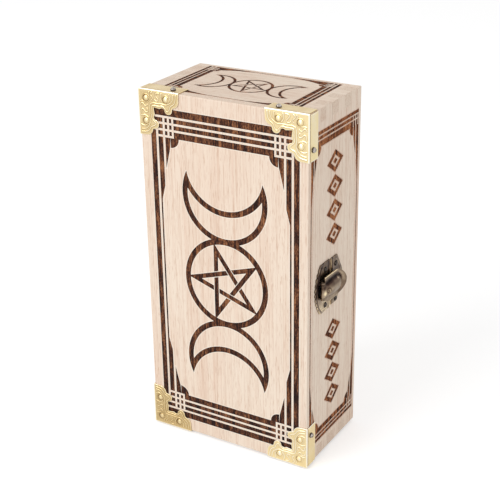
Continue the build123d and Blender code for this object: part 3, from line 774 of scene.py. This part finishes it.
def mirroredCopy(source, axes):
    thing = source.copy()
    thing.data = source.data.copy()
    bpy.context.collection.objects.link(thing)
    middle = {"X": 0, "Z": caseMiddle.z}
    thing.scale = [-1 if axis in axes else 1 for axis in "XYZ"]
    thing.location = [2 * middle[axis] if axis in axes else 0 for axis in "XYZ"]
    applyAll(thing)
    if len(axes) % 2:  # one mirror turns the faces inside out
        turnOutwards(thing)
    return thing


def cornerToneAndPaintedLight(x, y, z):
    # brass tone with painted light and shade: lit and shaded faces and flanges, glints along edges and folds,
    # shade in bends and beside the bosses
    look = bracketSettings
    tone = look["tones"]
    sheet, front, middle = look["sheet"] / mm, caseLow.y / mm, caseMiddle.z / mm
    across = caseHigh.x / mm + sheet - abs(x)
    drop = caseHalf.z / mm + sheet - abs(z - middle)
    if y > front + tone["flangeFrom"]:
        wearAndPaintedLight, bend = tone["wallFlange" if across < drop else "endFlange"]
        wearAndPaintedLight += glint(tone["flangeEdge"], y - front + sheet)
        wearAndPaintedLight -= glint((bend, *tone["flangeBend"]), y - front)
        return wearAndPaintedLight - glint(tone["flangeCorner"], max(across, drop))
    face, lower = tone["rightFace" if x > 0 else "leftFace"]
    wearAndPaintedLight = face + lower * smoothRise(middle, 0, z) + glint(tone["outerEdge"], min(across, drop))
    whole, lean = tone["bossLean"]
    for along, down in look["bosses"]:
        right = (along - across) * math.copysign(1, x)
        rise = (down - drop) * math.copysign(1, z - middle)
        away = math.hypot(along - across, down - drop)
        wearAndPaintedLight -= glint(tone["bossShade"], away) * (whole - lean * right / max(away, tone["bossCore"]))
        wearAndPaintedLight += glint(tone["bossGlint"], right) * glint(tone["bossGlintRise"], rise)
    return wearAndPaintedLight


brass = metalMaterial("cornerBrass", metalSettings["brass"], withWearAndLight=True)
cornerRelief = buildCornerRelief()
for place, axes in (("top_left", "X"), ("bottom_right", "Z"), ("bottom_left", "XZ"), ("top_right", "")):
    piece = mirroredCopy(cornerRelief, axes) if axes else cornerRelief
    piece.name = "stamped_corner_" + place
    setWearAndPaintedLight(piece, cornerToneAndPaintedLight, bracketSettings["ridges"])
    paint(piece, brass)
    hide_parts("bracket_" + place)
    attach(piece, "lid")
print("stamped corners made:", len(cornerRelief.data.polygons), "faces each")


# the catch's two plates: the CAD shapes with raised borders
plateSettings = {
    "voxel": 0.15 * mm,
    "passes": 2,
    "keep": 0.5,
    "ridges": 1.6,
    "sheet": 0.8 * mm,
    "bead": 0.3 * mm,
    "seamBead": 0.42 * mm,
    "inset": 1.9 * mm,
    "seamInset": 0.75 * mm,
    "seamShort": 0.6 * mm,
    "borderStart": 2.2,  # in insets from the seam's edge
    "shoulder": 0.4,
    "arcSteps": 8,
    "fanStraight": 10.2 * mm,
    "fanBulge": 6.0 * mm,
    "keeperStraight": 6.9 * mm,
    "keeperNose": 3.0 * mm,
    "fanTones": {  # painted light and shade on the fan plate; heights are from the catch's middle
        "face": 0.52,
        "lowerHalf": (0.32, 1, -9),
        "upperEnd": (0.06, 4, 12),
        # the rim's rope twist painted as alternating light and shade
        "ropeTurns": 1.15,
        "rope": (0.25, 0.7, 0.6),
        "ropeFrom": (-1, 3),
        "groove": (0.3, 1.1, 0.5),
        "grooveShift": (0.6, -2, 3),
        # painted shadow under the lever
        "underHood": (0.4, -17.5, 3),
        "underHoodRise": (1, 0, 5),
        "besideSeam": (0.16, -1.9, 0.6),
    },
    "keeperTones": {
        # painted light: the edge wall at the seam faces the front and is painted bright
        "seamEdge": 0.92,
        "seamEdgeWidth": 0.12,
        "face": 0.5,
        "backHalf": (0.16, -2, 6),
        "lowerEnd": (0.12, -6, -12),
        "rim": (0.14, 2.4, 0.8),
        "groove": (0.34, 1.1, 0.7),
        "upperNail": (0.25, 5.5, 1.6),
    },
}
fanLow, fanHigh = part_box("latch_fan_plate")
keeperLow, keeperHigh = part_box("latch_keeper_plate")
catchHeight = (fanLow.z + fanHigh.z) / 2
plateTop = caseHigh.x + plateSettings["sheet"]
fanHalf = (fanHigh.z - fanLow.z) / 2
keeperHalf = (keeperHigh.z - keeperLow.z) / 2


def onSide(y, rise):
    return (plateTop, y, catchHeight + rise)


def buildPlate(nodeName, name, border, seamAt, half):
    # the CAD plate with a bead along its border and one along the seam
    look = plateSettings
    reach = half - look["seamShort"]
    seamLine = [onSide(seamAt, rise) for rise in (reach, 0, -reach)]
    parts = [copyOfNode(nodeName, name), bead(border, look["bead"]), bead(seamLine, look["seamBead"])]
    return fuse(parts, name, look)


def buildFan():
    look = plateSettings
    inset = look["inset"]
    edge = fanHigh.y
    start = edge - look["borderStart"] * inset
    straight = edge - look["fanStraight"]
    radius = (fanHalf ** 2 + look["fanBulge"] ** 2) / (2 * look["fanBulge"])
    middle = straight - look["fanBulge"] + radius
    top = fanHalf - inset
    reach = math.asin(top / (radius - inset))
    border = [onSide(start, top), onSide(straight, top)]
    for n in range(look["arcSteps"] + 1):
        turn = reach * (1 - 2 * n / look["arcSteps"])
        border.append(onSide(middle - (radius - inset) * math.cos(turn), (radius - inset) * math.sin(turn)))
    border += [onSide(straight, -top), onSide(start, -top)]
    return buildPlate("latch_fan_plate", "catch_fan", border, edge - look["seamInset"], fanHalf)


def buildKeeper():
    look = plateSettings
    inset = look["inset"]
    edge = keeperLow.y
    start = edge + look["borderStart"] * inset
    shoulder = edge + look["keeperStraight"] - look["shoulder"] * inset
    far = keeperHigh.y - inset
    top, nose = keeperHalf - inset, look["keeperNose"]
    upper = [onSide(start, top), onSide(shoulder, top), onSide(far, nose)]
    lower = [onSide(far, -nose), onSide(shoulder, -top), onSide(start, -top)]
    seamAt = edge + look["seamInset"]
    return buildPlate("latch_keeper_plate", "catch_keeper", upper + lower, seamAt, keeperHalf)


def fanToneAndPaintedLight(x, y, z):
    # tone with painted light and shade: a painted rope on the rim and painted shadow under the lever
    look = plateSettings
    tone = look["fanTones"]
    rise = z - catchHeight / mm
    half, bulge = fanHalf / mm, look["fanBulge"] / mm
    radius = (half ** 2 + bulge ** 2) / (2 * bulge)
    middle = (fanHigh.y - look["fanStraight"]) / mm - bulge + radius
    fromRim = radius - math.hypot(y - middle, rise)
    wearAndPaintedLight = tone["face"] + swell(tone["lowerHalf"], rise) - swell(tone["upperEnd"], rise)
    rope = math.sin(tone["ropeTurns"] * math.atan2(rise, middle - y) * radius)
    wearAndPaintedLight += glint(tone["rope"], fromRim) * rope * smoothRise(*tone["ropeFrom"], rise)
    wearAndPaintedLight -= glint(tone["groove"], fromRim - swell(tone["grooveShift"], rise))
    # painted shadow of the lever
    wearAndPaintedLight -= glint(tone["underHood"], y) * glint(tone["underHoodRise"], rise)
    return wearAndPaintedLight - glint(tone["besideSeam"], y - fanHigh.y / mm)


def keeperToneAndPaintedLight(x, y, z):
    tone = plateSettings["keeperTones"]
    rise, fromSeam = z - catchHeight / mm, y - keeperLow.y / mm
    # painted light on the edge wall at the seam, which faces the front
    if fromSeam < tone["seamEdgeWidth"]:
        return tone["seamEdge"]
    wearAndPaintedLight = tone["face"] + swell(tone["backHalf"], y) + swell(tone["lowerEnd"], rise)
    wearAndPaintedLight += glint(tone["rim"], fromSeam) - glint(tone["groove"], fromSeam)
    return wearAndPaintedLight - glint(tone["upperNail"], rise)


bronze = metalMaterial("catchBronze", metalSettings["bronze"], withWearAndLight=True)
for piece, wearAndLightAt, nodeName, bodyName in ((buildFan(), fanToneAndPaintedLight, "latch_fan_plate", "lid"),
                                          (buildKeeper(), keeperToneAndPaintedLight, "latch_keeper_plate", "body")):
    setWearAndPaintedLight(piece, wearAndLightAt, plateSettings["ridges"])
    paint(piece, bronze)
    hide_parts(nodeName)
    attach(piece, bodyName)
print("catch plates made")


# the catch's lever: a pressed hood with a flat rim and a turned-up round end; in mm, a place's
# run is from the pin towards the back, across from the middle upwards, height above the plates
leverSettings = {
    "voxel": 0.16 * mm,
    "passes": 2,
    "keep": 0.6,
    "ridges": 1.2,
    "rows": 72,
    "columns": 60,
    "rowCrowding": 1.35,
    "sheet": 0.8,
    "halfWidth": 7.5,
    "roundRun": 13.1,
    "heelRun": -1.3,
    "heelHalf": 3.3,
    "heelCurve": (0.4, 6),
    "heelBlend": 0.35,
    "heelRadius": 1.35,
    "pinRise": 1.6,
    "rimRun": 1.45,
    "rimHeight": (2.2, 2.6),
    "footStart": 0.2,
    "sideCorner": (0.4, 6.9),
    "lowCorner": (7.0, 4.2),
    "domeHalf": (3.7, 4.6),
    "domeWidens": (2, 9),
    "domeTop": 4.95,
    "domeRises": (-0.4, 5.5),
    "squareness": (5, 3),
    "rounds": (0, 5),
    "domeFall": 0.65,
    "lipTop": 5.3,
    "lipStart": 4.7,
    "lipFall": 1.2,
    "upturn": (0.25, 6.3),
    "pin": (52.0, -16.7),
    "barrel": {"radius": 1.3, "length": 7.0, "sides": 48},
    "hook": {"y": 0.5, "depth": 1.0, "low": 0.8, "high": 2.3, "width": 5.0},
    "mark": {"run": 2.4, "across": 0.2, "radius": 0.95, "thickness": 0.2, "probe": 0.3},
    # painted light and shade on the lever, with wear on the heel
    "tones": {
        "face": 0.67,
        "towardsEnd": (0.04, 2, 10),
        "upperHalf": (-1.5, 1),
        # painted dark reflection along the valley beside the dome
        "valleyShade": (0.1, 0.46),  # everywhere, and more in the upper half
        "valley": (1, 0.2, 1.0),
        "valleyFrom": (0, 3),
        # painted dark reflection on the dome's upper flank
        "domeShade": (0.22, 0.3, 2.4),
        "domeEdge": 0.5,
        # painted highlight along the upper rim
        "upperRim": (0.2, 0.7),
        "upperRimTo": (15, 11),
        # wear and a painted highlight on the heel, painted shade above it
        "heel": (0.55, 0.2, 0.9),
        "heelAcross": (1, -0.9, 1.4),
        "heelShade": (0.16, -0.2, 0.8),
        "heelShadeFrom": (0.3, 1.5),
        # a painted highlight spot where the round end begins
        "spot": (0.5, 12.7, 0.6),
        "spotAcross": (1, 3.7, 0.6),
        # on the round end: a darker rim, a painted glint and a darker lower part
        "endFrom": (0.5, 3),
        "endRim": (0.25, 0.5),
        "endGlint": (0.16, 6.1, 0.4),
        "endGlintFrom": (2, 4),
        "endLower": (0.22, 4.6, 6.4),
        # darker round the pressed ring
        "mark": (0.22, 1.25, 0.35),
    },
}


def domeHalfAt(run):
    look = leverSettings
    narrow, wide = look["domeHalf"]
    return narrow + (wide - narrow) * smoothRise(*look["domeWidens"], run)


def hoodHeight(run, across):
    look = leverSettings
    low, high = look["rimHeight"]
    rim = low + (high - low) * min(1, max(0, (run - look["rimRun"]) / (look["roundRun"] - look["rimRun"])))
    foot = look["pinRise"] + (rim - look["pinRise"]) * smoothRise(look["footStart"], look["rimRun"], run)
    beyond = max(0, run - look["roundRun"])
    fromMiddle = math.hypot(beyond, across)
    heelTop = look["pinRise"] + math.sqrt(max(0.01, look["heelRadius"] ** 2 - min(0, run) ** 2))
    top = heelTop + max(0, look["domeTop"] - heelTop) * smoothRise(*look["domeRises"], run)
    square, rounder = look["squareness"]
    bulge = 1 - min(1, fromMiddle / domeHalfAt(run)) ** (square - rounder * smoothRise(*look["rounds"], run))
    dome = max(0, top - foot) * bulge ** look["domeFall"]
    ahead = beyond / fromMiddle if fromMiddle > 0 else 0
    lipShare = smoothRise(look["lipStart"], look["halfWidth"], fromMiddle) ** look["lipFall"]
    lip = (look["lipTop"] - high) * ahead ** 2 * lipShare
    lift, liftFrom = look["upturn"]
    return foot + dome + max(lip, lift * smoothRise(liftFrom, look["halfWidth"], fromMiddle))


def onLever(run, across, height):
    pinY = leverSettings["pin"][1]
    return Vector((plateTop + height * mm, (pinY + run) * mm, catchHeight + across * mm))


def onHood(run, across):
    return onLever(run, across, hoodHeight(run, across))


def hoodStart(across):
    # where the sheet begins: round the pin at the heel, behind the ears beside it
    look = leverSettings
    heelHalf = look["heelHalf"]
    size = abs(across)
    bow, power = look["heelCurve"]
    start = look["heelRun"] + bow * min(1, size / heelHalf) ** power
    step, stepFrom = look["sideCorner"]
    beside = look["rimRun"] + step * smoothRise(stepFrom, look["halfWidth"], size)
    if across < 0:
        along, side = look["lowCorner"]
        share = min(1, max(0, (size - heelHalf) / side))
        beside = max(beside, along * (1 - math.sqrt(1 - share ** 2)))
    return start + (beside - start) * smoothRise(heelHalf, heelHalf + look["heelBlend"], size)


def hoodPoint(s, t):
    look = leverSettings
    half = look["halfWidth"]
    across = half * math.sin(t * math.pi / 2)
    start = hoodStart(across)
    end = look["roundRun"] + math.sqrt(max(0, half ** 2 - across ** 2))
    return onHood(start + (end - start) * s ** look["rowCrowding"], across)


def buildHood():
    look = leverSettings
    deselectAll()
    bpy.ops.mesh.primitive_grid_add(x_subdivisions=look["rows"], y_subdivisions=look["columns"], size=2)
    hood = bpy.context.object
    for vertex in hood.data.vertices:
        vertex.co = hoodPoint((vertex.co.x + 1) / 2, vertex.co.y)
    turnOutwards(hood)
    if sum(face.normal.x for face in hood.data.polygons) < 0:
        hood.data.flip_normals()
    wall = hood.modifiers.new("wall", "SOLIDIFY")
    wall.thickness = look["sheet"] * mm
    wall.offset = -1
    bpy.ops.object.modifier_apply(modifier="wall")
    return hood


def buildBarrel():
    pinX, pinY = leverSettings["pin"]
    look = leverSettings["barrel"]
    deselectAll()
    bpy.ops.mesh.primitive_cylinder_add(vertices=look["sides"], radius=look["radius"] * mm,
                                        depth=look["length"] * mm,
                                        location=(pinX * mm, pinY * mm, catchHeight))
    return bpy.context.object


def buildHook():
    look = leverSettings["hook"]
    height = plateTop + (look["low"] + look["high"]) / 2 * mm
    size = ((look["high"] - look["low"]) * mm, look["depth"] * mm, look["width"] * mm)
    deselectAll()
    bpy.ops.mesh.primitive_cube_add(size=1, location=(height, look["y"] * mm, catchHeight), scale=size)
    return bpy.context.object


def buildMark():
    # the small ring pressed into the hood
    look = leverSettings["mark"]
    run, across, probe = look["run"], look["across"], look["probe"]
    here = onHood(run, across)
    slope = (onHood(run + probe, across) - here).cross(onHood(run, across + probe) - here)
    return ring(here, slope, look["radius"] * mm, look["thickness"] * mm)


def leverWearAndPaintedLight(x, y, z):
    # tone with painted reflections, highlights and shade, and wear on the heel
    look = leverSettings
    tone, mark = look["tones"], look["mark"]
    run, across = y - look["pin"][1], z - catchHeight / mm
    beyond = max(0, run - look["roundRun"])
    fromMiddle = math.hypot(beyond, across)
    half = domeHalfAt(run)
    upper = smoothRise(*tone["upperHalf"], across)
    atEnd = smoothRise(*tone["endFrom"], beyond)
    wearAndPaintedLight = tone["face"] + swell(tone["towardsEnd"], run)
    shade, upperShade = tone["valleyShade"]
    valley = glint(tone["valley"], fromMiddle - half) * smoothRise(*tone["valleyFrom"], run)
    wearAndPaintedLight -= (upperShade * upper + shade) * valley
    onDome = smoothRise(half + tone["domeEdge"], half - tone["domeEdge"], fromMiddle)
    wearAndPaintedLight -= upper * swell(tone["domeShade"], across) * onDome
    strength, width = tone["upperRim"]
    wearAndPaintedLight += strength * hill(across, look["halfWidth"], width) * smoothRise(*tone["upperRimTo"], run)
    wearAndPaintedLight += glint(tone["heel"], run) * glint(tone["heelAcross"], across)
    wearAndPaintedLight -= glint(tone["heelShade"], run) * smoothRise(*tone["heelShadeFrom"], across)
    wearAndPaintedLight += glint(tone["spot"], run) * glint(tone["spotAcross"], across)
    strength, width = tone["endRim"]
    wearAndPaintedLight -= strength * hill(fromMiddle, look["halfWidth"], width) * atEnd * upper
    wearAndPaintedLight += glint(tone["endGlint"], fromMiddle) * smoothRise(*tone["endGlintFrom"], beyond) * upper
    wearAndPaintedLight -= swell(tone["endLower"], fromMiddle) * atEnd * (1 - upper)
    return wearAndPaintedLight - glint(tone["mark"], math.hypot(run - mark["run"], across - mark["across"]))


lever = fuse([buildHood(), buildBarrel(), buildHook(), buildMark()], "catch_lever", leverSettings)
setWearAndPaintedLight(lever, leverWearAndPaintedLight, leverSettings["ridges"])
paint(lever, bronze)
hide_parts("latch_lever")
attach(lever, "latch_lever")
print("catch lever made:", len(lever.data.polygons), "faces")

# the CAD pieces that keep their shape
hingeBronze = metalMaterial("hingeBronze", metalSettings["hingeBronze"])
nailSteel = metalMaterial("nailSteel", metalSettings["nailSteel"])
darkNail = metalMaterial("catchNail", metalSettings["darkNail"])
for nodeName, piece in nodes.items():
    if nodeName == "bracket_nails":
        paint(piece, nailSteel)
    elif "nails" in nodeName:
        paint(piece, darkNail)
    elif "latch" in nodeName or "hinge" in nodeName:
        paint(piece, hingeBronze)
print("hinges, pins and nails painted")
